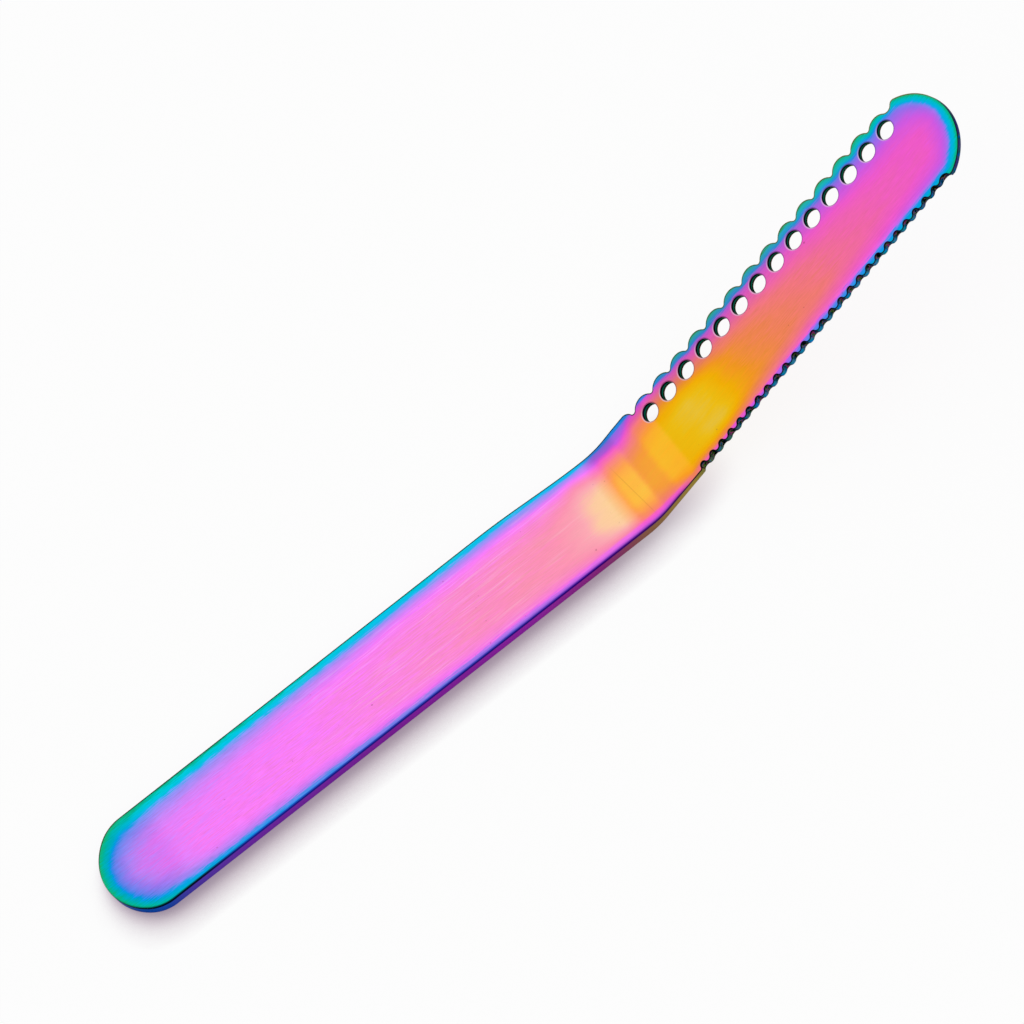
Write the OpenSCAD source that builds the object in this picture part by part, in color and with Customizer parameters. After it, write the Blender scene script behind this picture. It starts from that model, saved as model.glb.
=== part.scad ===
// Butter spreader with curling holes: one strip of stainless steel, stamped, ground thin and bent.
// The handle lies flat on the table. +X runs from its round end to the blade's tip,
// +Y is the side with the scalloped edge, and Z is up from the table.
// The origin is on the table, under the middle of the overall length.

/* [Handle] */
// Length from the round end to the bend line
handle_len = 124.8; // [100:0.1:150]
// Width of the strip
handle_w = 21.5; // [18:0.1:25]
// Thickness of the handle
handle_t = 2.4; // [1.8:0.1:3.2]
// Depth of the round end, as a share of half the width
end_share = 0.87; // [0.75:0.01:1]
// Depth of the shallow waist in the scalloped side
waist_depth = 0.95; // [0.4:0.05:2]
// Distance from the waist to the bend line
waist_back = 5.4; // [2:0.1:12]
// Length over which the handle narrows to the waist
waist_run = 24; // [10:0.5:40]
// Length over which the waist widens again to the neck
neck_run = 8.2; // [6:0.1:10]

/* [Bend] */
// Angle between the handle and the blade
bend_angle = 22.2; // [15:0.1:35]
// Radius of the bend on the upper face
bend_r = 11; // [6:0.5:18]
// Radius of the bend on the underside
heel_r = 13; // [6:0.5:20]

/* [Blade] */
// Length from the bend line to the tip, along the upper face
blade_len = 92.7; // [80:0.1:120]
// Thickness at the bend line
neck_t = 1.65; // [1.2:0.05:2]
// Thickness at the tip
tip_t = 1.2; // [0.7:0.05:1.4]
// How far the neck's scalloped side lies inside the handle's
neck_inset = 0.2; // [0.1:0.05:0.8]
// How much larger the tip's radius is than half the strip's width
tip_swell = 0.2; // [0:0.05:0.3]
// How far the tip's centre lies towards the serrated side
tip_shift = 0.5; // [0.2:0.05:0.8]

/* [Curling holes and scalloped edge] */
// Diameter of a curling hole
hole_d = 3.6; // [3:0.1:4]
// Distance between neighbouring holes
hole_pitch = 5.4; // [5:0.05:6.5]
// Width of steel between a hole and the crest of its scallop
hole_rim = 2.2; // [1.5:0.05:2.4]
// Radius of a scallop's crest
scallop_r = 2.85; // [2.3:0.05:3]
// Depth of the valleys between the scallops
scallop_depth = 1.3; // [0.8:0.05:1.5]
// How far the crests lie inside the neck's edge
scallop_inset = 0.3; // [0.1:0.05:0.8]
// Least length of plain neck before the first scallop
scallop_start = 5; // [5:0.5:24]

/* [Serrated edge] */
// Distance between neighbouring teeth
tooth_pitch = 2.72; // [2.3:0.02:3.2]
// Radius of a tooth's crest
tooth_r = 0.7; // [0.5:0.05:0.75]
// Depth of the scoops between the teeth, at the upper face
tooth_depth = 0.9; // [0.6:0.05:1]
// How much a scoop's radius shrinks for each unit of depth under the upper face
scoop_slant = 0.35; // [0:0.05:0.4]
// How far the crests lie inside the strip's edge
tooth_inset = 0.2; // [0.05:0.05:0.5]
// Least length of plain neck before the first scoop
tooth_start = 11; // [8:0.5:24]

/* [Ends of the two edges] */
// Distance of the scalloped edge's last valley past the tip's centre
scallop_end = 2.4; // [1.8:0.05:2.8]
// Radius of that valley
scallop_end_r = 1.3; // [1:0.05:1.5]
// How much deeper that valley is than the others
scallop_end_drop = 0.4; // [0.1:0.05:0.6]
// Radius of the tip's corner beside it
scallop_corner_r = 1.1; // [0.6:0.05:1.3]
// Distance of the serrated edge's last scoop past the tip's centre
tooth_end = 1.8; // [1.2:0.05:2.2]
// Radius of that scoop
tooth_end_r = 1.35; // [1:0.05:1.6]
// Radius of the tip's corner beside it
tooth_corner_r = 0.4; // [0.2:0.05:0.6]

/* [Hidden] */
$fn = 96;

// How far cutting shapes reach past the steel
reach = 5;
// How far a rounded corner's patch laps over the sides beside it
lap = 0.5;
// Arcs that follow one another cross by this much, so that they meet in true corners
crossing = 0.01;
// Least radius of a valley between crests
least_valley_r = 0.2;
// Least radius of a scoop under the steel
least_scoop_r = 0.1;
// Length of a rounding's patch beside it, as a multiple of the radius
arm_share = 3;
// Steps along each smooth change of width
ramp_steps = 12;
// Radius of the round end's shoulders, as a share of its depth
shoulder_share = 0.86;

half_w = handle_w / 2;
neck_y = half_w - neck_inset;
waist_x = handle_len - waist_back;

// Point of the side view at a distance along the blade's upper face and a depth under it
function on_blade(along, depth) = [
    handle_len + along * cos(bend_angle) + depth * sin(bend_angle),
    handle_t + along * sin(bend_angle) - depth * cos(bend_angle)
];

// The underside runs straight from the heel on the table to the tip
tip_upper = on_blade(blade_len, 0);
tip_lower = on_blade(blade_len, tip_t);
neck_lower = on_blade(0, neck_t);
under_angle = atan2(tip_lower[1] - neck_lower[1], tip_lower[0] - neck_lower[0]);
heel_x = neck_lower[0] - neck_lower[1] / tan(under_angle);
overall_len = tip_lower[0];
overall_h = tip_upper[1];

// The round end is a wide arc with rounder shoulders
end_depth = half_w * end_share;
shoulder_r = end_depth * shoulder_share;
shoulder_y = half_w - shoulder_r;
end_gap = end_depth - shoulder_r + crossing;
end_r = (pow(end_depth, 2) + pow(shoulder_y, 2) - pow(shoulder_r - crossing, 2)) / (2 * end_gap);

// Both edges end a little past the centre of the round tip
tip_r = half_w + tip_swell;
tip_u = blade_len - tip_r;
scallop_edge_end = tip_u + scallop_end;
tooth_edge_end = tip_u + tooth_end;

// Each hole sits under the crest of a scallop
crest_top = neck_y - scallop_inset;
scallop_y = crest_top - scallop_r;
valley_floor = crest_top - scallop_depth;
hole_y = crest_top - hole_rim - hole_d / 2;
hole_count = floor((scallop_edge_end - scallop_start) / hole_pitch - 1 / 2);
neck_end = scallop_edge_end - (hole_count + 1 / 2) * hole_pitch;
tooth_y = half_w - tooth_inset - tooth_r;
scoop_count = floor((tooth_edge_end - tooth_start) / tooth_pitch);

// Radius of the valley that meets the crests beside it at the wanted depth
function valley_r(pitch, crest_r, depth) =
    max(least_valley_r, (pow(pitch / 2, 2) + pow(depth, 2)) / (2 * depth) - crest_r);

// How far the centre of a valley with the given radius lies outside the centres of the crests
function valley_rise(pitch, crest_r, valley) =
    sqrt(pow(crest_r + valley - crossing, 2) - pow(pitch / 2, 2));

// Share of a smooth rise from 0 to 1
function rise(share) = (1 - cos(180 * share)) / 2;

// Crossing of two circles, on the right of the line from the first centre to the second
function meeting(centre_a, radius_a, centre_b, radius_b) =
    let (
        apart = norm(centre_b - centre_a),
        unit = (centre_b - centre_a) / apart,
        along = (pow(apart, 2) + pow(radius_a, 2) - pow(radius_b, 2)) / (2 * apart),
        aside = sqrt(pow(radius_a, 2) - pow(along, 2))
    )
    centre_a + along * unit + aside * [unit[1], -unit[0]];

// What is left over outside a rounding, between its directions towards two touching points
module outside_round(centre, radius, toward_a, toward_b) {
    arm_a = arm_share * radius * (toward_a - centre) / norm(toward_a - centre);
    arm_b = arm_share * radius * (toward_b - centre) / norm(toward_b - centre);
    difference() {
        polygon([centre, centre + arm_a, centre + arm_a + arm_b, centre + arm_b]);
        translate(centre)
            circle(radius);
    }
}

// Patch under the arc that rounds a corner of the side view, where a level line turns upwards
module corner_round(corner, angle, radius) {
    run = radius * tan(angle / 2);
    along = [cos(angle), sin(angle)];
    across = [sin(angle), -cos(angle)];
    difference() {
        polygon([
            corner - [run, 0],
            corner - [run, lap],
            corner + [lap * tan(angle / 2), -lap],
            corner + run * along + lap * across,
            corner + run * along
        ]);
        translate(corner + [-run, radius])
            circle(radius);
    }
}

// Flat handle, bend and tapered blade, seen from the serrated side
module side_view() {
    difference() {
        union() {
            polygon([
                [0, 0],
                [heel_x, 0],
                tip_lower,
                tip_upper,
                [handle_len, handle_t],
                [0, handle_t]
            ]);
            corner_round([handle_len, handle_t], bend_angle, bend_r);
        }
        corner_round([heel_x, 0], under_angle, heel_r);
    }
}

// What is trimmed off the strip's blank at the round end of the handle
module end_trim() {
    shoulder = [end_depth, shoulder_y];
    difference() {
        translate([-reach, -half_w - reach])
            square([end_depth + reach, handle_w + 2 * reach]);
        translate([end_r, 0])
            circle(end_r);
    }
    for (side = [0, 1])
        mirror([0, side])
            outside_round(shoulder, shoulder_r, shoulder + [0, 1], shoulder + (shoulder - [end_r, 0]));
}

// What is trimmed off the scalloped side at the waist and along the blade
module waist_trim() {
    polygon([
        [waist_x - waist_run, half_w + reach],
        for (i = [0:ramp_steps])
            [
                waist_x - waist_run * (1 - i / ramp_steps),
                half_w - waist_depth * rise(i / ramp_steps)
            ],
        for (i = [1:ramp_steps])
            [
                waist_x + neck_run * i / ramp_steps,
                half_w - waist_depth + (waist_depth - neck_inset) * rise(i / ramp_steps)
            ],
        [overall_len + reach, neck_y],
        [overall_len + reach, half_w + reach]
    ]);
}

// What is trimmed off the blade at the round tip
module tip_trim() {
    difference() {
        translate([tip_u, -half_w - reach])
            square([tip_r + reach, handle_w + 2 * reach]);
        translate([tip_u, -tip_shift])
            circle(tip_r);
    }
}

// What is cut away between the crests of a row, down to where the valleys begin
module crest_trim(row_end, count, pitch, crest_r, crest_y, valley) {
    start_y = crest_y + valley_rise(pitch, crest_r, valley) * crest_r / (crest_r + valley);
    difference() {
        translate([row_end - count * pitch, start_y])
            square([count * pitch, reach]);
        for (i = [1:count])
            translate([row_end - (i - 1 / 2) * pitch, crest_y])
                circle(crest_r);
    }
}

// Places a copy at each valley of a row
module at_valleys(row_end, count, pitch, valley_y) {
    for (i = [1:count])
        translate([row_end - i * pitch, valley_y])
            children();
}

// The larger last valley of a row, and the tip's rounded corner beside it
module row_end_trim(row_end, floor_y, radius, corner_r, tip_y) {
    valley = [row_end, floor_y + radius];
    tip = [tip_u, tip_y];
    corner = meeting(tip, tip_r - corner_r, valley, radius + corner_r);
    translate(valley)
        circle(radius);
    outside_round(corner, corner_r, valley, corner + (corner - tip));
}

// The neck's edge rounds down into the first valley
module neck_trim() {
    polygon([
        [neck_end, neck_y + reach],
        for (i = [0:ramp_steps])
            [
                neck_end + hole_pitch / 2 * i / ramp_steps,
                neck_y - (neck_y - valley_floor) * rise(i / ramp_steps)
            ],
        [neck_end + hole_pitch / 2, neck_y + reach]
    ]);
}

// Carries a flat cut square through the blade
module through_blade() {
    translate([0, 0, -neck_t - reach])
        linear_extrude(height = neck_t + 2 * reach)
            children();
}

// The scalloped edge, with the row of holes under its crests
module scallop_cuts() {
    valley = valley_r(hole_pitch, scallop_r, scallop_depth);
    valley_y = scallop_y + valley_rise(hole_pitch, scallop_r, valley);
    neck_trim();
    crest_trim(scallop_edge_end, hole_count, hole_pitch, scallop_r, scallop_y, valley);
    at_valleys(scallop_edge_end, hole_count, hole_pitch, valley_y)
        circle(valley);
    row_end_trim(
        scallop_edge_end,
        valley_floor - scallop_end_drop,
        scallop_end_r,
        scallop_corner_r,
        -tip_shift
    );
    for (i = [1:hole_count])
        translate([scallop_edge_end - (i - 1 / 2) * hole_pitch, hole_y])
            circle(d = hole_d);
}

// The serrated edge, drawn as if it were on the scalloped side.
// Its scoops are ground at a slant, so they are narrower at the underside.
module tooth_cuts() {
    scoop = valley_r(tooth_pitch, tooth_r, tooth_depth);
    scoop_y = tooth_y + valley_rise(tooth_pitch, tooth_r, scoop);
    through_blade() {
        crest_trim(tooth_edge_end, scoop_count, tooth_pitch, tooth_r, tooth_y, scoop);
        row_end_trim(
            tooth_edge_end,
            tooth_y + tooth_r - tooth_depth,
            tooth_end_r,
            tooth_corner_r,
            tip_shift
        );
    }
    at_valleys(tooth_edge_end, scoop_count, tooth_pitch, scoop_y)
        translate([0, 0, -neck_t])
            cylinder(
                h = neck_t + lap,
                r1 = max(least_scoop_r, scoop - scoop_slant * neck_t),
                r2 = scoop + scoop_slant * lap
            );
}

// The whole utensil is one piece of steel with a rainbow finish
module spreader() {
    color([0.86, 0.42, 0.82])
        translate([-overall_len / 2, 0, 0])
            difference() {
                rotate([90, 0, 0])
                    linear_extrude(height = handle_w, center = true)
                        side_view();
                translate([0, 0, -reach])
                    linear_extrude(height = overall_h + 2 * reach) {
                        end_trim();
                        waist_trim();
                    }
                translate([handle_len, 0, handle_t])
                    rotate([0, -bend_angle, 0]) {
                        through_blade() {
                            tip_trim();
                            scallop_cuts();
                        }
                        mirror([0, 1, 0])
                            tooth_cuts();
                    }
            }
}

spreader();
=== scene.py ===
"""A one-piece butter spreader in brushed steel with a rainbow finish, lying on a white table.

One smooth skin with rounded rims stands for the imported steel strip. It is drawn flat, as distances
along the strip (s) and across it (y), and then bent upwards past the handle. All sizes are in
millimetres until a point is placed in the frame, which is in metres.
"""
import functools
import math
from collections import namedtuple

import bpy
from mathutils import Matrix, Vector
from mathutils.geometry import delaunay_2d_cdt
from mathutils.kdtree import KDTree


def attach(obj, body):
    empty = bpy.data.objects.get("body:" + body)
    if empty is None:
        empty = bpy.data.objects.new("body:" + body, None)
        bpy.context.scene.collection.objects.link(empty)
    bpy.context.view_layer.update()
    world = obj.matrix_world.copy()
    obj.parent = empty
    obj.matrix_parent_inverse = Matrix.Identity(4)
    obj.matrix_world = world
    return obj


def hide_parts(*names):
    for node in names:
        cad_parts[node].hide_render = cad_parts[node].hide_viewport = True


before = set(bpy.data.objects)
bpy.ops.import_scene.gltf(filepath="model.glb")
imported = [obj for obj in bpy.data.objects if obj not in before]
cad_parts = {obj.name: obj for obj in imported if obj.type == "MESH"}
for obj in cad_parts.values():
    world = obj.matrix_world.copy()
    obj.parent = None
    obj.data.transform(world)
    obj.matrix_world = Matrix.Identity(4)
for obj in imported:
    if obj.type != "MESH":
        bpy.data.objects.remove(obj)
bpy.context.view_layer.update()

MM = 0.001

# Strip, bend and blade
HANDLE_LEN = 124.8
HALF_W = 10.75
HANDLE_T = 2.4
BEND = math.radians(22.2)
BEND_R = 11.0
HEEL_R = 13.0
BLADE_LEN = 92.7
STRIP_LEN = HANDLE_LEN + BLADE_LEN
NECK_T = 1.65
TIP_T = 1.2
NECK_Y = HALF_W - 0.2

# Round end of the handle, and the waist beside the bend
END_DEPTH = 0.87 * HALF_W
SHOULDER_R = 0.86 * END_DEPTH
SHOULDER_Y = HALF_W - SHOULDER_R
END_R = (END_DEPTH**2 + SHOULDER_Y**2 - SHOULDER_R**2) / (2 * (END_DEPTH - SHOULDER_R))
WAIST_DEPTH = 0.95
WAIST_S = HANDLE_LEN - 5.4
WAIST_RUN = 24.0
NECK_RUN = 8.2

# Round tip
TIP_R = HALF_W + 0.2
TIP_S = STRIP_LEN - TIP_R
TIP_Y = -0.5

# Scalloped edge with a hole under each crest
HOLES = 14
HOLE_PITCH = 5.4
HOLE_R = 1.8
CREST_TOP = NECK_Y - 0.3
CREST_R = 2.85
CREST_DEPTH = 1.3
HOLE_LAND = 2.2
HOLE_Y = CREST_TOP - HOLE_LAND - HOLE_R
SCALLOPS_END = TIP_S + 2.4
LAST_VALLEY_R = 1.3
LAST_VALLEY_DROP = 0.4
SCALLOP_CORNER_R = 1.1
NECK_ROUND_R = 2.0

# Serrated edge, its scoops ground at a slant
SCOOPS = 26
TOOTH_PITCH = 2.72
TOOTH_LINE = HALF_W - 0.2
TOOTH_R = 0.7
TOOTH_DEPTH = 0.9
TEETH_END = TIP_S + 1.8
LAST_SCOOP_R = 1.35
TOOTH_CORNER_R = 0.4
SCOOP_SLANT = 0.35

# Rounding of the edges, and how finely the skin is divided
RIM_R = 0.14
BLADE_RIM_R = 0.1
HOLE_RIM_R = 0.12
RIM_ALONG = [(110, RIM_R), (130, BLADE_RIM_R)]
EDGE_BAND = 0.35
RIM_STEPS = 4
ARC_STEP = 0.22
FEWEST_STEPS = 3
LINE_STEP = 0.7
GRID = 0.7
HOLE_SIDES = 48
MERGE_GAP = 1e-6

# How the slope of the waist and the strip's thickness are found
SLOPE_STEP = 0.01
HALVINGS = 24

# A circle that the outline runs along: bulge is 1 where it is the steel's outside and -1 where it is
# a hollow, and slant is how far the wall under it leans outwards per millimetre of depth
Circle = namedtuple("Circle", "x y r bulge slant", defaults=(0.0,))
# A point of the outline with its outward direction and the slant of the wall under it
Rim = namedtuple("Rim", "s y out_s out_y slant", defaults=(0.0,))


def rise(share):
    """Share of a smooth rise from 0 to 1."""
    return (1 - math.cos(math.pi * share)) / 2


def valley_radius(pitch, crest_r, depth):
    """Radius of the valley that meets the crests beside it at the wanted depth."""
    return ((pitch / 2) ** 2 + depth**2) / (2 * depth) - crest_r


def meeting(a, radius_a, b, radius_b, side):
    """Crossing of two circles, on the left (1) or right (-1) of the way from a's centre to b's."""
    apart = math.hypot(b.x - a.x, b.y - a.y)
    unit_x = (b.x - a.x) / apart
    unit_y = (b.y - a.y) / apart
    along = (apart**2 + radius_a**2 - radius_b**2) / (2 * apart)
    aside = side * math.sqrt(radius_a**2 - along**2)
    return a.x + along * unit_x - aside * unit_y, a.y + along * unit_y + aside * unit_x


def touching_point(a, b):
    """Where two circles of the outline touch."""
    apart = math.hypot(b.x - a.x, b.y - a.y)
    if a.bulge != b.bulge:
        share = a.r / apart
        return a.x + share * (b.x - a.x), a.y + share * (b.y - a.y)
    large, small = (a, b) if a.r > b.r else (b, a)
    share = large.r / apart
    return large.x + share * (small.x - large.x), large.y + share * (small.y - large.y)


def follow(circles, first, last):
    """The outline along circles that touch one another, from the first point up to the last."""
    stops = [first] + [touching_point(a, b) for a, b in zip(circles, circles[1:])] + [last]
    path = []
    for circle, start, stop in zip(circles, stops, stops[1:]):
        begin = math.atan2(start[1] - circle.y, start[0] - circle.x)
        sweep = (math.atan2(stop[1] - circle.y, stop[0] - circle.x) - begin) % math.tau
        if circle.bulge < 0:
            sweep -= math.tau
        steps = max(FEWEST_STEPS, math.ceil(abs(sweep) * circle.r / ARC_STEP))
        for i in range(steps):
            angle = begin + sweep * i / steps
            toward_x = math.cos(angle)
            toward_y = math.sin(angle)
            # No rounded corner stands out past the strip's side
            y = max(-HALF_W, circle.y + circle.r * toward_y)
            path.append(
                Rim(
                    circle.x + circle.r * toward_x,
                    y,
                    circle.bulge * toward_x,
                    circle.bulge * toward_y,
                    circle.slant * max(0.0, TOOTH_LINE - abs(y)) / TOOTH_DEPTH,
                )
            )
    return path


def straight(start_s, stop_s, y, out_y):
    """The outline along one straight side of the strip."""
    steps = math.ceil(abs(stop_s - start_s) / LINE_STEP)
    return [Rim(start_s + (stop_s - start_s) * i / steps, y, 0.0, out_y) for i in range(steps)]


def upper_side(s):
    """Height of the scalloped side's edge at the waist and the neck."""
    if s <= WAIST_S:
        share = max(0.0, 1 - (WAIST_S - s) / WAIST_RUN)
        return HALF_W - WAIST_DEPTH * rise(share)
    share = min(1.0, (s - WAIST_S) / NECK_RUN)
    return HALF_W - WAIST_DEPTH + (WAIST_DEPTH - HALF_W + NECK_Y) * rise(share)


def waist(start_s, stop_s):
    """The outline along the waist, from the blade back to the handle."""
    steps = math.ceil((start_s - stop_s) / LINE_STEP)
    path = []
    for i in range(steps):
        s = start_s + (stop_s - start_s) * i / steps
        slope = (upper_side(s + SLOPE_STEP) - upper_side(s - SLOPE_STEP)) / (2 * SLOPE_STEP)
        size = math.hypot(slope, 1)
        path.append(Rim(s, upper_side(s), -slope / size, 1 / size))
    return path


def with_crests(hollows, radius):
    """Hollows with a rounded crest between each two."""
    row = [hollows[0]]
    for a, b in zip(hollows, hollows[1:]):
        middle = meeting(a, a.r + radius, b, b.r + radius, 1)
        row += [Circle(*middle, radius, 1, a.slant), b]
    return row


def strip_outline():
    """The whole outline of the flat strip, anticlockwise from the round end's lower shoulder."""
    tip = Circle(TIP_S, TIP_Y, TIP_R, 1)

    scoop_r = valley_radius(TOOTH_PITCH, TOOTH_R, TOOTH_DEPTH)
    scoop_y = TOOTH_DEPTH - TOOTH_LINE - scoop_r
    scoops = [
        Circle(TEETH_END - i * TOOTH_PITCH, scoop_y, scoop_r, -1, SCOOP_SLANT)
        for i in range(SCOOPS, 0, -1)
    ]
    last_scoop = Circle(TEETH_END, TOOTH_DEPTH - TOOTH_LINE - LAST_SCOOP_R, LAST_SCOOP_R, -1, SCOOP_SLANT)
    start_y = TOOTH_CORNER_R - HALF_W
    start_gap = math.sqrt((scoop_r + TOOTH_CORNER_R) ** 2 - (start_y - scoop_y) ** 2)
    start = Circle(scoops[0].x - start_gap, start_y, TOOTH_CORNER_R, 1)
    tooth_corner = Circle(
        *meeting(last_scoop, LAST_SCOOP_R + TOOTH_CORNER_R, tip, TIP_R - TOOTH_CORNER_R, -1),
        TOOTH_CORNER_R,
        1,
    )

    valley_r = valley_radius(HOLE_PITCH, CREST_R, CREST_DEPTH)
    valley_y = CREST_TOP - CREST_DEPTH + valley_r
    last_valley_y = CREST_TOP - CREST_DEPTH - LAST_VALLEY_DROP + LAST_VALLEY_R
    last_valley = Circle(SCALLOPS_END, last_valley_y, LAST_VALLEY_R, -1)
    valleys = [last_valley] + [
        Circle(SCALLOPS_END - i * HOLE_PITCH, valley_y, valley_r, -1) for i in range(1, HOLES + 1)
    ]
    scallop_corner = Circle(
        *meeting(tip, TIP_R - SCALLOP_CORNER_R, last_valley, LAST_VALLEY_R + SCALLOP_CORNER_R, -1),
        SCALLOP_CORNER_R,
        1,
    )
    neck_y = NECK_Y - NECK_ROUND_R
    neck_gap = math.sqrt((valley_r + NECK_ROUND_R) ** 2 - (valley_y - neck_y) ** 2)
    neck = Circle(valleys[-1].x - neck_gap, neck_y, NECK_ROUND_R, 1)

    blade = [start, *with_crests(scoops + [last_scoop], TOOTH_R), tooth_corner, tip, scallop_corner]
    blade += [*with_crests(valleys, CREST_R), neck]
    end = [
        Circle(END_DEPTH, SHOULDER_Y, SHOULDER_R, 1),
        Circle(END_R, 0.0, END_R, 1),
        Circle(END_DEPTH, -SHOULDER_Y, SHOULDER_R, 1),
    ]
    waist_start = WAIST_S - WAIST_RUN
    path = straight(END_DEPTH, start.x, -HALF_W, -1.0)
    path += follow(blade, (start.x, -HALF_W), (neck.x, NECK_Y))
    path += waist(neck.x, waist_start)
    path += straight(waist_start, END_DEPTH, HALF_W, 1.0)
    path += follow(end, (END_DEPTH, HALF_W), (END_DEPTH, -HALF_W))
    return path


HOLE_CENTRES = [(SCALLOPS_END - (i + 0.5) * HOLE_PITCH, HOLE_Y) for i in range(HOLES)]


def hole_outline(centre):
    """One hole's rim, clockwise, with the outward direction towards its middle."""
    path = []
    for i in range(HOLE_SIDES):
        angle = -math.tau * i / HOLE_SIDES
        toward_s = math.cos(angle)
        toward_y = math.sin(angle)
        path.append(Rim(centre[0] + HOLE_R * toward_s, centre[1] + HOLE_R * toward_y, -toward_s, -toward_y))
    return path


# Side view: the underside is flat under the handle and straight from the heel to the tip
def under_blade(along, depth):
    """Point of the side view at a distance along the blade's upper face and a depth under it."""
    x = HANDLE_LEN + along * math.cos(BEND) + depth * math.sin(BEND)
    return x, HANDLE_T + along * math.sin(BEND) - depth * math.cos(BEND)


TIP_UNDER = under_blade(BLADE_LEN, TIP_T)
NECK_UNDER = under_blade(0, NECK_T)
UNDER_SLOPE = math.atan2(TIP_UNDER[1] - NECK_UNDER[1], TIP_UNDER[0] - NECK_UNDER[0])
HEEL_X = NECK_UNDER[0] - NECK_UNDER[1] / math.tan(UNDER_SLOPE)
HEEL_RUN = HEEL_R * math.tan(UNDER_SLOPE / 2)
BEND_RUN = BEND_R * math.tan(BEND / 2)
OVERALL_LEN = TIP_UNDER[0]


def upper_face(s):
    """Place and slope of the upper face in the side view."""
    if s <= HANDLE_LEN - BEND_RUN:
        return s, HANDLE_T, 0.0
    if s >= HANDLE_LEN + BEND_RUN:
        x, z = under_blade(s - HANDLE_LEN, 0)
        return x, z, BEND
    turn = BEND * (s - HANDLE_LEN + BEND_RUN) / (2 * BEND_RUN)
    x = HANDLE_LEN - BEND_RUN + BEND_R * math.sin(turn)
    return x, HANDLE_T + BEND_R * (1 - math.cos(turn)), turn


def under_face(x):
    """Height of the underside over the table."""
    past_heel = x - HEEL_X + HEEL_RUN
    if past_heel <= 0:
        return 0.0
    if past_heel < HEEL_R * math.sin(UNDER_SLOPE):
        return HEEL_R - math.sqrt(HEEL_R**2 - past_heel**2)
    return (x - HEEL_X) * math.tan(UNDER_SLOPE)


@functools.lru_cache(maxsize=None)
def thickness(s):
    """Thickness of the strip, square to its upper face."""
    x, z, turn = upper_face(s)
    thin = 0.0
    thick = 2 * HANDLE_T
    for _ in range(HALVINGS):
        middle = (thin + thick) / 2
        if z - middle * math.cos(turn) > under_face(x + middle * math.sin(turn)):
            thin = middle
        else:
            thick = middle
    return (thin + thick) / 2


def placed(s, y, depth):
    """Point of the bent strip in the frame, in metres."""
    x, z, turn = upper_face(s)
    x += depth * math.sin(turn)
    z -= depth * math.cos(turn)
    return Vector((x - OVERALL_LEN / 2, y, z)) * MM


def direction(s, out_s, out_y, up):
    """A direction of the flat strip, turned as the strip is bent at s."""
    turn = upper_face(s)[2]
    along = out_s * math.cos(turn) - up * math.sin(turn)
    return Vector((along, out_y, out_s * math.sin(turn) + up * math.cos(turn))).normalized()


# What the finish knows at each point of the skin. First where it lies: along and across the strip, its depth
# # as a share of the thickness, how far the rounding has turned to the wall, the painted lines of shade on
# the
# # scalloped side (lip_shade) and on the serrated side (brink_shade), a hole's wall (bore), its side towards
# the
# # handle with a painted highlight (halo), and a slanted scoop. Then what coating and painted lighting give.
FACTS = [
    "along", "across", "depth", "wall", "lip_shade", "brink_shade", "bore", "halo", "scoop",
    "edge", "film", "rim_film", "rim_width", "shine", "light_gain", "gleam", "hole_side_shade", "crease",
]


class Skin:
    """Points, faces and what the finish needs to know at each point."""

    def __init__(self):
        self.points = []
        self.normals = []
        self.faces = []
        self.facts = {name: [] for name in FACTS}

    def add(self, s, y, depth, out, wall=0.0, lip_shade=0.0, brink_shade=0.0, bore=0.0, halo=0.0, scoop=0.0):
        """Adds a point of the flat strip, bent, and gives its number."""
        self.points.append(placed(s, y, depth))
        self.normals.append(direction(s, *out))
        facts = (s, y, depth / thickness(s), wall, lip_shade, brink_shade, bore, halo, scoop)
        facts += coating(s, y) + lighting(s, y)
        for name, value in zip(FACTS, facts):
            self.facts[name].append(value)
        return len(self.points) - 1


def loop_edges(loop):
    """The edges of a closed loop, each as a pair of its points."""
    return list(zip(loop, loop[1:] + loop[:1]))


OUTLINE = strip_outline()
outline_tree = KDTree(len(OUTLINE))
for number, rim in enumerate(OUTLINE):
    outline_tree.insert((rim.s, rim.y, 0), number)
outline_tree.balance()


def between(stops, place):
    """Value at a place, on straight lines through (place, value) stops."""
    if place <= stops[0][0]:
        return stops[0][1]
    for (a, low), (b, high) in zip(stops, stops[1:]):
        if place <= b:
            return low + (high - low) * (place - a) / (b - a)
    return stops[-1][1]


# The coating's thickness, its film, runs from 0 to 1 through the rainbow. Along the middle, as (s, film):
MIDDLE_FILM = [
    (0, 0.7), (8, 0.69), (12, 0.668), (20, 0.635), (45, 0.615), (64, 0.575), (88, 0.505), (106, 0.45),
    (112, 0.385), (115, 0.3), (119, 0.24), (121, 0.21), (122.6, 0.125), (125.8, 0.12), (126.7, 0.19),
    (130, 0.175), (131.5, 0.11), (135.4, 0.1), (135.9, 0.07), (143, 0.03), (147, 0.06), (153, 0.17),
    (160, 0.26), (172, 0.36), (184, 0.45), (196, 0.52), (204, 0.555), (217, 0.57),
]
# How it grows towards the scalloped side: evenly up to a limit, and with the square of the distance
LEAN = [(136, 0.0), (150, 0.01), (166, 0.018), (193, 0.021), (217, 0.012)]
LEAN_LIMIT = 5.0
BOW = [
    (46, 0.0), (76, 0.001), (90, 0.002), (104, 0.003), (113, 0.0042), (116, 0.005), (119, 0.007),
    (121, 0.0082), (124, 0.0082), (128, 0.0078), (131, 0.0055), (136, 0.0046), (144, 0.0042), (155, 0.003),
    (166, 0.0),
]
FILM_LIMIT = [(104, 0.7), (114, 0.63), (119, 0.63), (122, 0.67)]
# How it shrinks towards the serrated side
FALL = [
    (0, 0.0), (60, 0.003), (120, 0.004), (128, 0.003), (134, -0.004), (140, -0.004), (148, 0.004),
    (160, 0.006), (180, 0.008), (205, 0.002), (217, 0.0),
]
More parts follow.
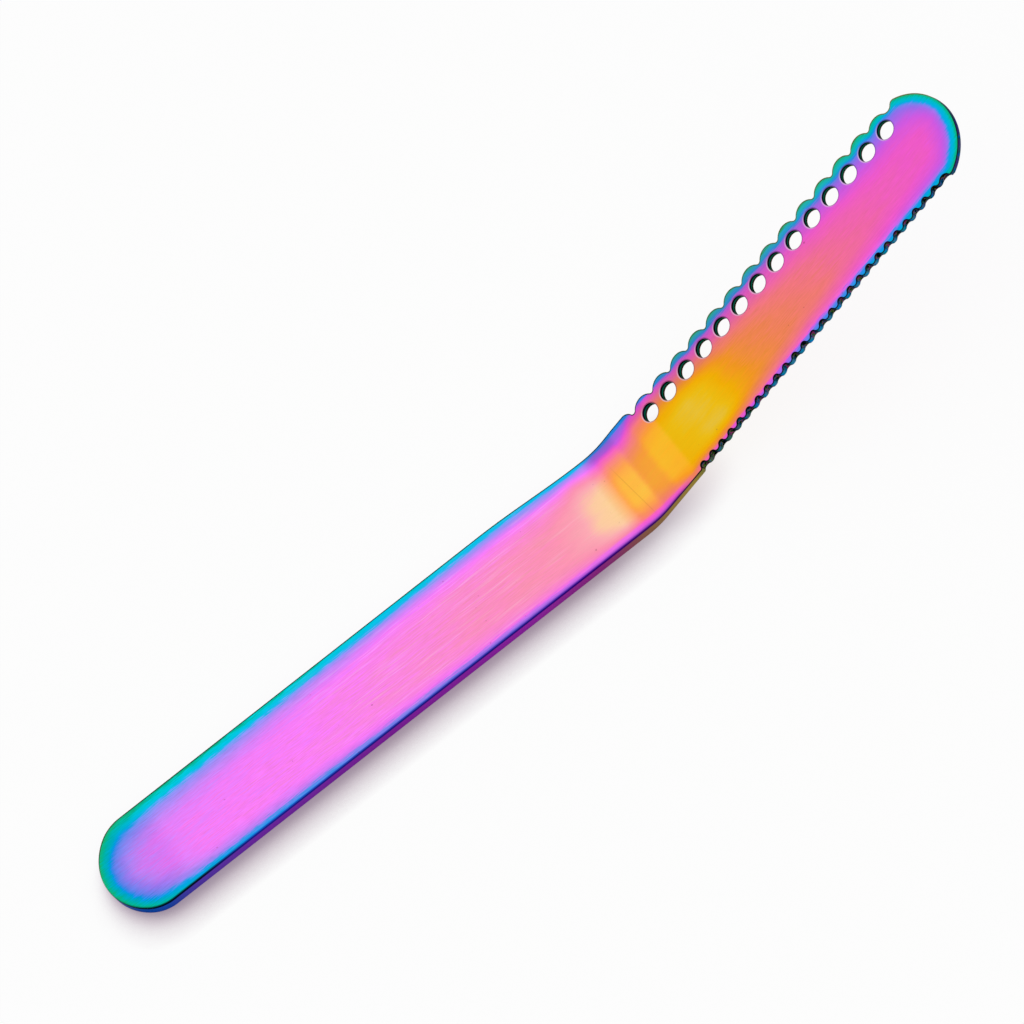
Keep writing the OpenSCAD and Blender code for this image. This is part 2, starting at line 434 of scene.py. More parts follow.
# Film at the very edge, and the border's width, on the scalloped and on the serrated side
UPPER_RIM_FILM = [
    (0, 0.968), (20, 0.98), (46, 0.965), (76, 0.935), (104, 0.92), (116, 0.92), (119, 0.9), (122, 0.86),
    (128, 0.88), (134, 0.87), (140, 0.96), (147, 1.0), (204, 1.0), (210, 0.985), (217, 0.972),
]
UPPER_RIM_WIDTH = [
    (0, 2.1), (9, 2.0), (20, 2.15), (46, 1.8), (76, 1.45), (90, 1.2), (104, 0.85), (116, 0.9), (119, 0.85),
    (122, 0.65), (128, 0.8), (134, 0.8), (147, 1.5), (168, 1.75), (188, 1.75), (200, 1.8), (217, 1.45),
]
LOWER_RIM_FILM = [
    (0, 0.968), (8, 0.955), (15, 0.92), (30, 0.88), (60, 0.8), (90, 0.76), (108, 0.69), (127, 0.69),
    (131, 0.62), (135, 0.3), (138, 0.55), (145, 0.68), (152, 0.74), (160, 0.8), (170, 0.87), (193, 0.93),
    (205, 0.955), (217, 0.972),
]
LOWER_RIM_WIDTH = [
    (0, 2.1), (9, 1.7), (12, 1.4), (16, 1.15), (22, 1.0), (60, 1.0), (90, 1.05), (108, 1.15), (116, 1.35),
    (124, 1.4), (131, 1.0), (135, 0.8), (145, 0.8), (160, 1.0), (170, 1.2), (205, 1.35), (212, 1.7),
    (217, 1.6),
]
# The border is wider at the shoulder of the round end on the scalloped side, across and along the strip
SHOULDER_ACROSS = [(3, 0), (7, 0.4)]
SHOULDER_ALONG = [(9, 1), (16, 0)]
# How far the border follows the scallops instead of the strip's plain side
SCALLOPED = [(134, 0), (142, 0.28), (180, 0.32), (196, 0.5), (206, 0.5), (212, 0)]


def blank_edges(s, y):
    """Distances in from the plain strip's upper and lower side, round its end and tip too."""
    upper = upper_side(s) - y
    lower = HALF_W + y
    if s < END_DEPTH:
        if abs(y) * (END_R - END_DEPTH) > SHOULDER_Y * (END_R - s):
            end = SHOULDER_R - math.hypot(s - END_DEPTH, abs(y) - SHOULDER_Y)
        else:
            end = END_R - math.hypot(s - END_R, y)
        return (end, max(end, lower)) if y > 0 else (max(end, upper), end)
    if s > TIP_S:
        tip = TIP_R - math.hypot(s - TIP_S, y - TIP_Y)
        return (min(upper, tip), max(tip, lower)) if y > TIP_Y else (max(tip, upper), min(lower, tip))
    return upper, lower


def coating(s, y):
    """Distance from the blank's edge, film in the middle, and the film and width of the border there."""
    upper, lower = blank_edges(s, y)
    if upper < lower:
        upper += between(SCALLOPED, s) * (max(0.0, edge_distance(s, y)) - upper)
    film = between(MIDDLE_FILM, s)
    if y > 0:
        most = max(film, between(FILM_LIMIT, s))
        film += between(LEAN, s) * min(y, LEAN_LIMIT) + between(BOW, s) * y**2
        film = min(film, most)
    else:
        film += between(FALL, s) * max(y, -LEAN_LIMIT)
    if upper < lower:
        shoulder = between(SHOULDER_ACROSS, y) * between(SHOULDER_ALONG, s)
        width = between(UPPER_RIM_WIDTH, s) * (1 + shoulder)
        return max(0.0, upper), film, between(UPPER_RIM_FILM, s), width
    return max(0.0, lower), film, between(LOWER_RIM_FILM, s), between(LOWER_RIM_WIDTH, s)


# Where the finish mirrors the bright light above the handle: along the strip, inside its round end, in the
# border towards the tip, and across the strip
SHINE = [(6, 0), (16, 1), (118.5, 1), (121.5, 0)]
SHINE_INSIDE = [(3, 0), (6, 0.7)]
SHINE_BORDER = [(1.5, 0.5), (2.6, 0)]
SHINE_TIPWARD = [(150, 0), (190, 1)]
SHINE_ACROSS = [(-10.6, 0.1), (-9, 0.8), (-7.5, 1)]
# Painted highlight: where the colours of the bend are brighter, with painted shade where they are darker
# near the
# # scalloped side; and where painted plain light lies over them
BEND_LIGHT_GAIN = [(119, 0), (121, 0.12), (126, 0.12), (127, 0.04), (130, 0.05), (131, 0.09), (135.4, 0.09), (136, 0)]
BEND_LIGHT_GAIN_ACROSS = [(-10.2, 0), (-9.2, 1), (4.5, 1), (7, 0.5), (8.2, -1.4), (10, -2)]
GLEAM = [(119, 0), (121, 0.05), (126, 0.06), (127, 0.03), (131, 0.025), (135.4, 0.02), (136, 0)]
GLEAM_ACROSS = [(-9, 0), (-7, 1), (4.5, 1), (7.5, 0)]
# Painted shade: where the colours are duller and greyer beside the holes
HOLE_SIDE_SHADE = [(134, 0), (142, 1), (170, 1), (195, 0.3), (205, 0)]
HOLE_SIDE_SHADE_ACROSS = [(3.5, 0), (6, 0.16), (8.5, 0.3)]
# How far the fine crease of the bend reaches across
CREASE_ACROSS = [(-10, 0), (-8, 1), (1, 1), (6, 0)]


def lighting(s, y):
    """Share of the bright reflected colours, painted highlight and shade gain, and shares of painted plain
    light, of painted grey shade and of the crease.
    """
    shine = between(SHINE, s)
    inside = min(blank_edges(s, y))
    if s < HANDLE_LEN / 2:
        shine = max(shine, between(SHINE_INSIDE, inside))
    else:
        shine = max(shine, between(SHINE_TIPWARD, s) * between(SHINE_BORDER, inside))
    return (
        shine * between(SHINE_ACROSS, y),
        between(BEND_LIGHT_GAIN, s) * between(BEND_LIGHT_GAIN_ACROSS, y),
        between(GLEAM, s) * between(GLEAM_ACROSS, y),
        between(HOLE_SIDE_SHADE, s) * between(HOLE_SIDE_SHADE_ACROSS, y),
        between(CREASE_ACROSS, y),
    )


def edge_distance(s, y):
    """Distance in from the outline, negative outside it."""
    _, number, far = outline_tree.find((s, y, 0))
    rim = OUTLINE[number]
    inside = (rim.s - s) * rim.out_s + (rim.y - y) * rim.out_y
    return math.copysign(far, inside)


def hole_distance(s, y):
    """Distance from the rim of the nearest hole, negative inside it."""
    return min(math.hypot(s - x, y - centre_y) for x, centre_y in HOLE_CENTRES) - HOLE_R


# The painted dark line of shade along the serrated side, as (s, share), and how much of it lies inside the
# rounding
BRINK_SHADE = [(130, 1), (134, 0)]
BRINK_SHADE_INSIDE = [(50, 0), (85, 0.35)]


def add_wall(skin, path, is_hole):
    """Rounded wall around one loop. Gives the loops where the upper and the lower face begin."""
    turns = [math.pi / 2 * i / RIM_STEPS for i in range(RIM_STEPS + 1)]
    half = [(EDGE_BAND, 0.0)] + [(0.0, turn) for turn in turns]
    rings = [(band, turn, 1) for band, turn in half] + [(band, turn, -1) for band, turn in reversed(half)]
    loops = []
    for band, turn, up in rings:
        loop = []
        for rim in path:
            radius = HOLE_RIM_R if is_hole else between(RIM_ALONG, rim.s)
            inset = max(band, radius * (1 - math.sin(turn)))
            drop = radius * (1 - math.cos(turn))
            s = rim.s - inset * rim.out_s
            depth = drop if up > 0 else thickness(s) - drop
            y = rim.y - inset * rim.out_y - rim.slant * depth
            out = (rim.out_s * math.sin(turn), rim.out_y * math.sin(turn), up * math.cos(turn))
            on_rim = float(band == 0)
            on_lip = float(up > 0 and turn < math.pi / 2 and not is_hole)
            lip_shade = on_lip * on_rim * max(0.0, rim.out_y)
            inside = between(BRINK_SHADE_INSIDE, s)
            brink_shade = on_lip * max(on_rim, inside) * between(BRINK_SHADE, s) * max(0.0, -rim.out_y)
            bore = is_hole * on_rim
            halo = bore * max(0.0, rim.out_s)
            scoop = rim.slant / SCOOP_SLANT
            loop.append(skin.add(s, y, depth, out, math.sin(turn), lip_shade, brink_shade, bore, halo, scoop))
        loops.append(loop)
    for upper, lower in zip(loops, loops[1:]):
        for (a, b), (c, d) in zip(loop_edges(upper), loop_edges(lower)):
            skin.faces.append((a, c, d, b))
    return loops[0], loops[-1]


def grid_points():
    """Evenly spread points inside the strip and outside the holes."""
    found = []
    rows = int(2 * HALF_W / (GRID * math.sqrt(3) / 2))
    columns = int(STRIP_LEN / GRID)
    for row in range(rows + 1):
        y = (row - rows / 2) * GRID * math.sqrt(3) / 2
        for column in range(columns + 1):
            s = (column + row % 2 / 2) * GRID
            if min(edge_distance(s, y), hole_distance(s, y)) > EDGE_BAND + GRID / 2:
                found.append((s, y))
    return found


# Asks for the triangles within the outline only
INSIDE_EDGES = 1


def build_skin():
    """The whole closed skin: walls first, then the two broad faces between them."""
    skin = Skin()
    bounds_up = []
    bounds_down = []
    for path in [OUTLINE] + [hole_outline(centre) for centre in HOLE_CENTRES]:
        upper, lower = add_wall(skin, path, path is not OUTLINE)
        bounds_up.append(upper)
        bounds_down.append(lower)
    flat_up = [i for loop in bounds_up for i in loop]
    flat_down = [i for loop in bounds_down for i in loop]
    spots = [(skin.facts["along"][i], skin.facts["across"][i]) for i in flat_up]
    place_of = {point: number for number, point in enumerate(flat_up)}
    edges = [(place_of[a], place_of[b]) for loop in bounds_up for a, b in loop_edges(loop)]
    hole_of = {place_of[i]: number for number, loop in enumerate(bounds_up[1:]) for i in loop}
    for s, y in grid_points():
        spots.append((s, y))
        flat_up.append(skin.add(s, y, 0, (0, 0, 1)))
        flat_down.append(skin.add(s, y, thickness(s), (0, 0, -1)))
    _, _, triangles, origins, _, _ = delaunay_2d_cdt(
        [Vector(spot) for spot in spots], edges, [], INSIDE_EDGES, MERGE_GAP
    )
    for triangle in triangles:
        corners = [origins[i][0] for i in triangle]
        holes = {hole_of.get(i) for i in corners}
        if len(holes) > 1 or None in holes:
            skin.faces.append(tuple(flat_up[i] for i in corners))
            skin.faces.append(tuple(flat_down[i] for i in reversed(corners)))
    return skin


def skin_object(skin, name):
    """Turns the skin into a mesh with smooth normals and the finish's attributes."""
    mesh = bpy.data.meshes.new(name)
    mesh.from_pydata(skin.points, [], skin.faces)
    mesh.polygons.foreach_set("use_smooth", [True] * len(mesh.polygons))
    for fact, values in skin.facts.items():
        mesh.attributes.new(fact, "FLOAT", "POINT").data.foreach_set("value", values)
    mesh.normals_split_custom_set_from_vertices(skin.normals)
    thing = bpy.data.objects.new(name, mesh)
    bpy.context.collection.objects.link(thing)
    return thing


# Finish


def linear(red, green, blue):
    """A picture colour, 0 to 255, as light."""
    return tuple(
        c / 12.92 if c <= 0.04045 else ((c + 0.055) / 1.055) ** 2.4
        for c in (red / 255, green / 255, blue / 255)
    ) + (1.0,)


# Sockets of the mix node that carry colours
MIX_A = 6
MIX_B = 7
MIX_RESULT = 2
# How fine a noise is in two directions, which layer of it is cut, its detail and its roughness
Grain = namedtuple("Grain", "x y layer detail roughness")


class Nodes:
    """Short ways to add shader nodes to one material."""

    def __init__(self, tree):
        self.tree = tree

    def put(self, target, value):
        """Links a socket to an input, or sets a plain value there."""
        if isinstance(value, bpy.types.NodeSocket):
            self.tree.links.new(value, target)
        else:
            target.default_value = value

    def fact(self, name):
        """One of the skin's facts."""
        node = self.tree.nodes.new("ShaderNodeAttribute")
        node.attribute_name = name
        return node.outputs["Fac"]

    def math(self, operation, *values):
        node = self.tree.nodes.new("ShaderNodeMath")
        node.operation = operation
        for socket, value in zip(node.inputs, values):
            self.put(socket, value)
        return node.outputs[0]

    def ramp(self, value, stops):
        """A colour ramp through (place, colour) stops."""
        node = self.tree.nodes.new("ShaderNodeValToRGB")
        elements = node.color_ramp.elements
        while len(elements) < len(stops):
            elements.new(1.0)
        for element, (place, colour) in zip(elements, stops):
            element.position = place
            element.color = colour
        self.put(node.inputs["Fac"], value)
        return node.outputs["Color"]

    def curve(self, value, stops):
        """A value that runs through (place, value) stops from 0 to 1, as a grey ramp."""
        return self.ramp(value, [(place, (level, level, level, 1.0)) for place, level in stops])

    def vector(self, x, y, z):
        node = self.tree.nodes.new("ShaderNodeCombineXYZ")
        for socket, value in zip(node.inputs, (x, y, z)):
            self.put(socket, value)
        return node.outputs[0]

    def noise(self, x, y, grain):
        """Noise over two directions."""
        node = self.tree.nodes.new("ShaderNodeTexNoise")
        x = self.math("MULTIPLY", x, grain.x)
        y = self.math("MULTIPLY", y, grain.y)
        self.put(node.inputs["Vector"], self.vector(x, y, grain.layer))
        self.put(node.inputs["Scale"], 1.0)
        self.put(node.inputs["Detail"], grain.detail)
        self.put(node.inputs["Roughness"], grain.roughness)
        return node.outputs["Fac"]

    def mix(self, share, a, b, blend="MIX"):
        node = self.tree.nodes.new("ShaderNodeMix")
        node.data_type = "RGBA"
        node.blend_type = blend
        self.put(node.inputs["Factor"], share)
        self.put(node.inputs[MIX_A], a)
        self.put(node.inputs[MIX_B], b)
        return node.outputs[MIX_RESULT]


# Colours of the coating from thin to thick, where the handle mirrors the bright light above it
BRIGHT = [
    (0.00, linear(254, 166, 70)),
    (0.10, linear(254, 180, 74)),
    (0.20, linear(254, 214, 150)),
    (0.28, linear(253, 205, 163)),
    (0.36, linear(252, 172, 180)),
    (0.44, linear(252, 148, 178)),
    (0.50, linear(252, 140, 196)),
    (0.56, linear(252, 134, 224)),
    (0.62, linear(251, 126, 249)),
    (0.66, linear(228, 128, 250)),
    (0.70, linear(199, 136, 248)),
    (0.74, linear(160, 142, 246)),
    (0.77, linear(142, 152, 247)),
    (0.81, linear(100, 164, 248)),
    (0.86, linear(26, 182, 240)),
    (0.90, linear(2, 198, 232)),
    (0.93, linear(0, 202, 210)),
    (0.95, linear(2, 190, 164)),
    (0.97, linear(18, 168, 122)),
    (1.00, linear(46, 136, 84)),
]
# The same colours where the end and the blade mirror a dimmer side
DEEP = [
    (0.00, linear(229, 196, 75)),
    (0.06, linear(236, 188, 20)),
    (0.12, linear(241, 174, 6)),
    (0.19, linear(241, 150, 35)),
    (0.27, linear(238, 132, 82)),
    (0.37, linear(241, 120, 124)),
    (0.47, linear(240, 103, 168)),
    (0.57, linear(239, 90, 202)),
    (0.66, linear(208, 90, 226)),
    (0.74, linear(148, 110, 235)),
    (0.77, linear(117, 124, 235)),
    (0.81, linear(72, 132, 232)),
    (0.86, linear(8, 144, 233)),
    (0.90, linear(0, 162, 214)),
    (0.93, linear(0, 176, 178)),
    (0.95, linear(4, 182, 148)),
    (0.97, linear(26, 178, 112)),
    (1.00, linear(66, 142, 66)),
]
WHITE = (1.0, 1.0, 1.0, 1.0)

# Long brushed lines: how close they lie, how far they swing, and how strong they are, as (s, share)
LINE_GRAIN = Grain(0.12, 1.0, 0.0, 3.0, 0.65)
LINES_PER_MM = 3.0
SWING_GRAIN = Grain(0.08, 0.1, 0.0, 1.0, 0.5)
LINE_SWING = 3.0
BRUSHING = [(0, 0.6), (30, 0.9), (60, 1), (104, 0.9), (114, 0.3), (146, 0.3), (156, 0.5), (217, 0.5)]
# Short flecks between the lines, and how strong they are
FLECK_GRAIN = Grain(0.35, 4.5, 5.0, 2.0, 0.6)
FLECKS = [
    (0, 0.9), (40, 0.8), (70, 0.5), (104, 0.4), (114, 0.15), (146, 0.25), (156, 0.5), (200, 0.45),
    (217, 0.35),
]
# How far lines, flecks and wide clouds shift the film, the border's inner edge and the brightness
CLOUD_GRAIN = Grain(0.15, 0.4, 7.0, 2.0, 0.5)
CLOUD_ON_FILM = 0.05
LINE_ON_FILM = 0.18
FLECK_ON_FILM = 0.14
LINE_ON_EDGE = 2.0
FLECK_ON_EDGE = 3.0
LINE_ON_LIGHT = 0.25
FLECK_ON_LIGHT = 0.6
# Light scratches among the lines: their share by the noise, and where they lie
SCRATCH_GRAIN = Grain(0.05, 0.8, 2.0, 2.0, 0.6)
SCRATCH_SHARE = [(0.55, 0), (0.72, 0.21)]
SCRATCHES = [(44, 0), (60, 1), (108, 1), (116, 0)]
# Dark specks: their share by the noise, where they gather, and how much that lifts the noise
SPECK_GRAIN = Grain(1.1, 1.1, 12.1, 0.0, 0.5)
SPECK_SHARE = [(0.84, 0), (0.9, 0.45)]
SPECKS = [(109, 0), (113, 1), (119, 1), (122, 0)]
SPECK_LIFT = 0.04
SPECK_COLOUR = linear(120, 50, 50)
# A fine slanting crease in the bend: where it crosses the middle, its lean, and its share by distance
CREASE_S = 123.4
CREASE_LEAN = 0.1
CREASE_SHARE = [(0.04, 0.2), (0.16, 0)]
CREASE_COLOUR = linear(150, 70, 40)
# Grey of the painted shade beside the holes
HOLE_SIDE_SHADE_COLOUR = linear(89, 89, 89)
# How the border's share of the film falls off, by distance over the border's width
RIM_FALL = [
    (0, 1), (0.25, 0.95), (0.4, 0.89), (0.6, 0.84), (0.8, 0.81), (1.0, 0.72), (1.2, 0.5), (1.45, 0.36),
    (1.75, 0.3), (2.2, 0.22), (2.6, 0.16), (3.0, 0.11), (4.0, 0.03), (5.0, 0),
]
RIM_REACH = 5.0
# Colour of the side walls along the strip
WALL = [
    (0, linear(30, 112, 220)),
    (8, linear(48, 104, 222)),
    (14, linear(112, 90, 228)),
    (28, linear(156, 72, 226)),
    (60, linear(176, 60, 212)),
    (92, linear(196, 62, 220)),
    (110, linear(190, 70, 174)),
    (116, linear(176, 94, 124)),
    (120, linear(172, 120, 96)),
    (126, linear(166, 138, 78)),
    (134, linear(156, 136, 62)),
    (140, linear(44, 86, 48)),
    (148, linear(20, 96, 104)),
    (158, linear(4, 126, 176)),
    (196, linear(2, 132, 170)),
    (206, linear(10, 48, 104)),
]
# Colour of the painted dark line of shade at the top of the walls, and its share by depth and where the
# rounding begins
WALL_TOP_SHADE = [
    (3, linear(4, 20, 26)),
    (16, linear(4, 22, 40)),
    (28, linear(24, 52, 176)),
    (90, linear(40, 36, 160)),
    (106, linear(60, 12, 150)),
    (118, linear(72, 10, 130)),
    (130, linear(60, 14, 90)),
    (136, linear(24, 16, 22)),
]
WALL_TOP_SHADE_SHARE = [(0.0, 0.6), (0.03, 1), (0.18, 1), (0.3, 0)]
BRINK_SHADE_SHARE = 0.85
# Where the rounding of an edge turns from face to wall
WALL_SHARE = [(0.35, 0), (0.75, 1)]
# Colour of the fine painted line of shade along the scalloped side, and where the edge faces that way enough
# for it
LIP_SHADE = [
    (0, linear(60, 70, 30)),
    (16, linear(18, 44, 28)),
    (136, linear(18, 44, 40)),
    (150, linear(50, 90, 60)),
    (205, linear(90, 100, 40)),
]
LIP_SHADE_SHARE = [(0.15, 0), (0.5, 1)]
# Colour down a hole's wall: near-black painted shade with a green and an olive band
BORE_SHADE = [
    (0.0, linear(4, 6, 8)),
    (0.3, linear(5, 12, 14)),
    (0.5, linear(16, 98, 76)),
    (0.66, linear(6, 24, 22)),
    (0.85, linear(66, 48, 22)),
    (1.0, linear(6, 6, 8)),
]
# The painted dark line of shade around a hole, and the painted highlight on the side towards the handle
HOLE_SHADE_COLOUR = linear(70, 40, 90)
HOLE_SHADE_NEAR = [(0.3, 0), (1.0, 0.8)]
HOLE_SHADE_SHARE = [(0.0, 1), (0.5, 0)]
HALO_HIGHLIGHT_COLOUR = linear(250, 225, 245)
HALO_HIGHLIGHT_SHARE = [(0.0, 0.7), (0.2, 0.6), (0.35, 0)]
# Colours that vary from tooth to tooth, and their share along the strip
TINT_GRAIN = Grain(0.45, 0.45, 4.05, 1.0, 0.5)
TINT_SHARE = [(136, 0), (140, 0.375)]
TINT = [
    (0.38, linear(96, 84, 130)),
    (0.46, linear(30, 120, 60)),
    (0.52, linear(0, 110, 220)),
    (0.58, linear(80, 110, 40)),
    (0.64, linear(90, 60, 130)),
]
# Painted shade in the scoops, near black, with painted coloured glints
GLINT_GRAIN = Grain(1.1, 2.2, 3.3, 1.0, 0.5)
SCOOP_SHADE_GLINTS = [
    (0.34, linear(3, 4, 6)),
    (0.44, linear(5, 7, 10)),
    (0.48, linear(66, 108, 34)),
    (0.51, linear(8, 10, 14)),
    (0.55, linear(150, 44, 110)),
    (0.58, linear(10, 12, 26)),
    (0.63, linear(20, 96, 130)),
    (0.68, linear(4, 5, 8)),
]
# Gloss of the steel, and the height of its lines in millimetres
EDGE_TINT = (0.4, 0.4, 0.4, 1.0)
STEEL_ROUGHNESS = 0.33
LINE_ON_ROUGHNESS = 0.2
BUMP_STRENGTH = 0.15
BUMP_HEIGHT = 0.05


def shares(table, whole=STRIP_LEN):
    """A table's places as shares of a whole length."""
    return [(place / whole, value) for place, value in table]


def rainbow_steel():
    """Brushed steel under an interference coating that thickens towards the edges."""
    material = bpy.data.materials.new("rainbow_steel")
    material.use_nodes = True
    tree = material.node_tree
    n = Nodes(tree)
    along = n.fact("along")
    across = n.fact("across")
    depth = n.fact("depth")
    wall = n.fact("wall")
    share = n.math("DIVIDE", along, STRIP_LEN)

    # Brushed lines run lengthwise and swing a little, with short flecks between them
    swing = n.math("MULTIPLY", n.noise(along, across, SWING_GRAIN), LINE_SWING)
    brushed = n.math("MULTIPLY_ADD", across, LINES_PER_MM, swing)
    lines = n.noise(along, brushed, LINE_GRAIN)
    line = n.math("MULTIPLY", n.math("SUBTRACT", lines, 0.5), n.curve(share, shares(BRUSHING)))
    flecks = n.noise(along, across, FLECK_GRAIN)
    fleck = n.math("MULTIPLY", n.math("SUBTRACT", flecks, 0.5), n.curve(share, shares(FLECKS)))

    def uneven(value, by_line, by_fleck):
        """A value that lines and flecks push up and down."""
        value = n.math("MULTIPLY_ADD", line, by_line, value)
        return n.math("MULTIPLY_ADD", fleck, by_fleck, value)

    # Film from the middle to the border, and its colour in painted bright and dim reflections, with a
    # painted highlight
    edge = uneven(n.fact("edge"), LINE_ON_EDGE, FLECK_ON_EDGE)
    ratio = n.math("DIVIDE", n.math("DIVIDE", edge, n.fact("rim_width")), RIM_REACH)
    fall = n.curve(ratio, shares(RIM_FALL, RIM_REACH))
    middle = uneven(n.fact("film"), LINE_ON_FILM, FLECK_ON_FILM)
    cloud = n.math("SUBTRACT", n.noise(along, across, CLOUD_GRAIN), 0.5)
    middle = n.math("MULTIPLY_ADD", cloud, CLOUD_ON_FILM, middle)
    film = n.math("MULTIPLY_ADD", n.math("SUBTRACT", n.fact("rim_film"), middle), fall, middle)
    face = n.mix(n.fact("shine"), n.ramp(film, DEEP), n.ramp(film, BRIGHT))
    bright = uneven(n.math("ADD", n.fact("light_gain"), 1.0), LINE_ON_LIGHT, FLECK_ON_LIGHT)
    face = n.mix(1.0, face, bright, "MULTIPLY")

    # Painted plain light, light scratches inside the border, painted shade beside the holes, specks and the
    # crease
    scores = n.curve(n.noise(along, brushed, SCRATCH_GRAIN), SCRATCH_SHARE)
    scratch = n.math("MULTIPLY", scores, n.curve(share, shares(SCRATCHES)))
    scratch = n.math("MULTIPLY", scratch, n.math("SUBTRACT", 1.0, fall))
    face = n.mix(n.math("ADD", n.fact("gleam"), scratch), face, WHITE)
    face = n.mix(n.fact("hole_side_shade"), face, HOLE_SIDE_SHADE_COLOUR)
    specks = n.noise(along, across, SPECK_GRAIN)
    specks = n.math("MULTIPLY_ADD", n.curve(share, shares(SPECKS)), SPECK_LIFT, specks)
    face = n.mix(n.curve(specks, SPECK_SHARE), face, SPECK_COLOUR)
    slanted = n.math("MULTIPLY_ADD", across, CREASE_LEAN, along)
    from_crease = n.math("ABSOLUTE", n.math("SUBTRACT", slanted, CREASE_S))
    crease = n.math("MULTIPLY", n.curve(from_crease, CREASE_SHARE), n.fact("crease"))
    face = n.mix(crease, face, CREASE_COLOUR)

    # Walls, with painted shade and glints in the scoops and holes, and a painted dark line of shade where
    # they begin
    sides = n.ramp(share, shares(WALL))
    tints = n.ramp(n.noise(along, depth, TINT_GRAIN), TINT)
    sides = n.mix(n.curve(share, shares(TINT_SHARE)), sides, tints)
    sides = n.mix(n.fact("scoop"), sides, n.ramp(n.noise(along, depth, GLINT_GRAIN), SCOOP_SHADE_GLINTS))
    sides = n.mix(n.fact("bore"), sides, n.ramp(depth, BORE_SHADE))
    top_shade_line = n.ramp(share, shares(WALL_TOP_SHADE))
    sides = n.mix(n.curve(depth, WALL_TOP_SHADE_SHARE), sides, top_shade_line)
    colour = n.mix(n.curve(wall, WALL_SHARE), face, sides)
    colour = n.mix(n.math("MULTIPLY", n.fact("brink_shade"), BRINK_SHADE_SHARE), colour, top_shade_line)
    colour = n.mix(n.curve(n.fact("lip_shade"), LIP_SHADE_SHARE), colour, n.ramp(share, shares(LIP_SHADE)))

    # Rims of the holes: a painted dark line of shade and a painted highlight
    near = n.curve(n.fact("bore"), HOLE_SHADE_NEAR)
    colour = n.mix(n.math("MULTIPLY", near, n.curve(wall, HOLE_SHADE_SHARE)), colour, HOLE_SHADE_COLOUR)
    light = n.math("MULTIPLY", n.fact("halo"), n.curve(wall, HALO_HIGHLIGHT_SHARE))
    colour = n.mix(light, colour, HALO_HIGHLIGHT_COLOUR)

    shader = tree.nodes["Principled BSDF"]
    shader.inputs["Metallic"].default_value = 1.0
    shader.inputs["Specular Tint"].default_value = EDGE_TINT
    n.put(shader.inputs["Base Color"], colour)
    n.put(shader.inputs["Roughness"], n.math("MULTIPLY_ADD", line, LINE_ON_ROUGHNESS, STEEL_ROUGHNESS))
    bump = tree.nodes.new("ShaderNodeBump")
    bump.inputs["Strength"].default_value = BUMP_STRENGTH
    bump.inputs["Distance"].default_value = BUMP_HEIGHT * MM
    n.put(bump.inputs["Height"], lines)
    n.put(shader.inputs["Normal"], bump.outputs["Normal"])
    return material


spreader = skin_object(build_skin(), "spreader_skin")
spreader.data.materials.append(rainbow_steel())
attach(spreader, "root")
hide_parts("spreader")

# Table, light and camera

# Half of the table's side in metres, and its drop under the strip in millimetres
TABLE_HALF = 3.0
TABLE_DROP = 0.02
TABLE_COLOUR = (0.1, 0.1, 0.1, 1.0)
TABLE_GLOW = 0.88
TABLE_ROUGHNESS = 0.9
# The shadow: how near the strip has to be, how often the shader tries that, and where the light comes from
SHADOW_REACH = 8.0
SHADOW_SAMPLES = 16
TOWARDS_LIGHT = (0, 0.87, 0.5)
# Colour of the table by how freely the light reaches it
SHADOW = [(0.45, (0.34, 0.26, 0.33, 1)), (0.7, (0.62, 0.54, 0.6, 1)), (0.94, WHITE)]
# The shadow fades where the strip rises, by the share of its length
SHADOW_ALONG = [(0.52, 1), (0.6, 0.65), (0.65, 0.4), (0.72, 0.15), (0.8, 0)]


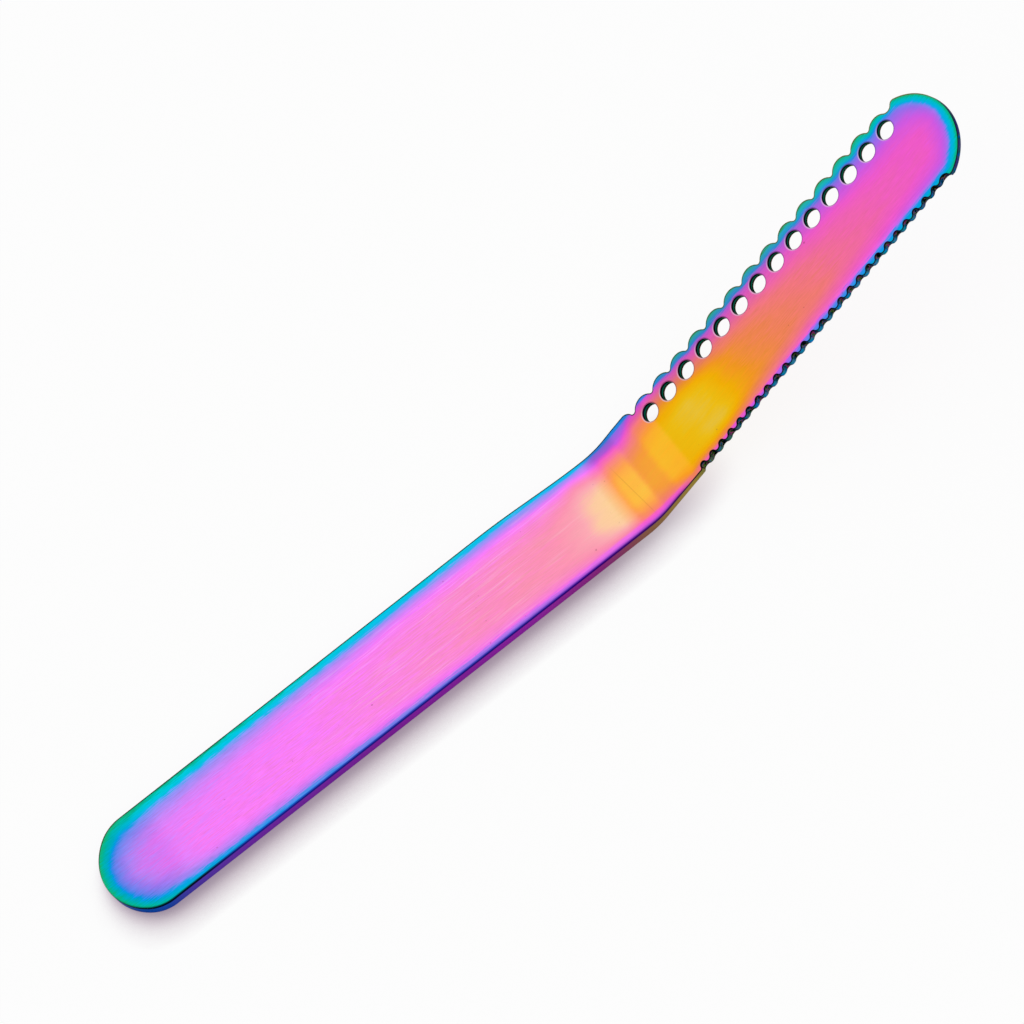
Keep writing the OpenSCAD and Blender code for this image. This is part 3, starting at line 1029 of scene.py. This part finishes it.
def white_table():
    """A table that glows white, with a soft shadow beside the strip on the side away from the light."""
    mesh = bpy.data.meshes.new("table")
    corners = [(-1, -1), (1, -1), (1, 1), (-1, 1)]
    points = [(TABLE_HALF * x, TABLE_HALF * y, -TABLE_DROP * MM) for x, y in corners]
    mesh.from_pydata(points, [], [(0, 1, 2, 3)])
    table = bpy.data.objects.new("table", mesh)
    bpy.context.collection.objects.link(table)
    material = bpy.data.materials.new("white_table")
    material.use_nodes = True
    nodes = material.node_tree.nodes
    n = Nodes(material.node_tree)
    shelter = nodes.new("ShaderNodeAmbientOcclusion")
    shelter.samples = SHADOW_SAMPLES
    shelter.inputs["Distance"].default_value = SHADOW_REACH * MM
    n.put(shelter.inputs["Normal"], n.vector(*TOWARDS_LIGHT))
    spot = nodes.new("ShaderNodeSeparateXYZ")
    n.put(spot.inputs[0], nodes.new("ShaderNodeNewGeometry").outputs["Position"])
    along = n.math("MULTIPLY_ADD", spot.outputs["X"], 1 / (OVERALL_LEN * MM), 0.5)
    glow = n.mix(n.curve(along, SHADOW_ALONG), WHITE, n.ramp(shelter.outputs["AO"], SHADOW))
    shader = nodes["Principled BSDF"]
    shader.inputs["Base Color"].default_value = TABLE_COLOUR
    n.put(shader.inputs["Emission Color"], glow)
    shader.inputs["Emission Strength"].default_value = TABLE_GLOW
    shader.inputs["Roughness"].default_value = TABLE_ROUGHNESS
    shader.inputs["Specular IOR Level"].default_value = 0.0
    mesh.materials.append(material)
    return table


white_table()

world = bpy.data.worlds.new("studio")
bpy.context.scene.world = world
world.use_nodes = True
background = world.node_tree.nodes["Background"]
background.inputs["Color"].default_value = WHITE
background.inputs["Strength"].default_value = 1.0

# The camera's aim, its direction seen from there, its roll, its distance in metres, and its lens
CAMERA_AIM = Vector((-2.36, 0.02, 18.7)) * MM
CAMERA_TURN = math.radians(-90.84)
CAMERA_LIFT = math.radians(57.46)
CAMERA_ROLL = math.radians(-37.34)
CAMERA_FAR = 1.0098
CAMERA_REACH = 10.0
SENSOR_WIDTH = 36.0
FOCAL_LENGTH = 191.96

lens = bpy.data.cameras.new("camera")
lens.sensor_width = SENSOR_WIDTH
lens.lens = FOCAL_LENGTH
lens.clip_end = CAMERA_REACH
camera = bpy.data.objects.new("camera", lens)
bpy.context.collection.objects.link(camera)
back = Vector((
    math.cos(CAMERA_LIFT) * math.cos(CAMERA_TURN),
    math.cos(CAMERA_LIFT) * math.sin(CAMERA_TURN),
    math.sin(CAMERA_LIFT),
))
level = back.to_track_quat("Z", "Y").to_matrix().to_4x4()
camera.matrix_world = (
    Matrix.Translation(CAMERA_AIM + CAMERA_FAR * back) @ level @ Matrix.Rotation(CAMERA_ROLL, 4, "Z")
)
bpy.context.scene.camera = camera
bpy.context.scene.view_settings.view_transform = "Standard"
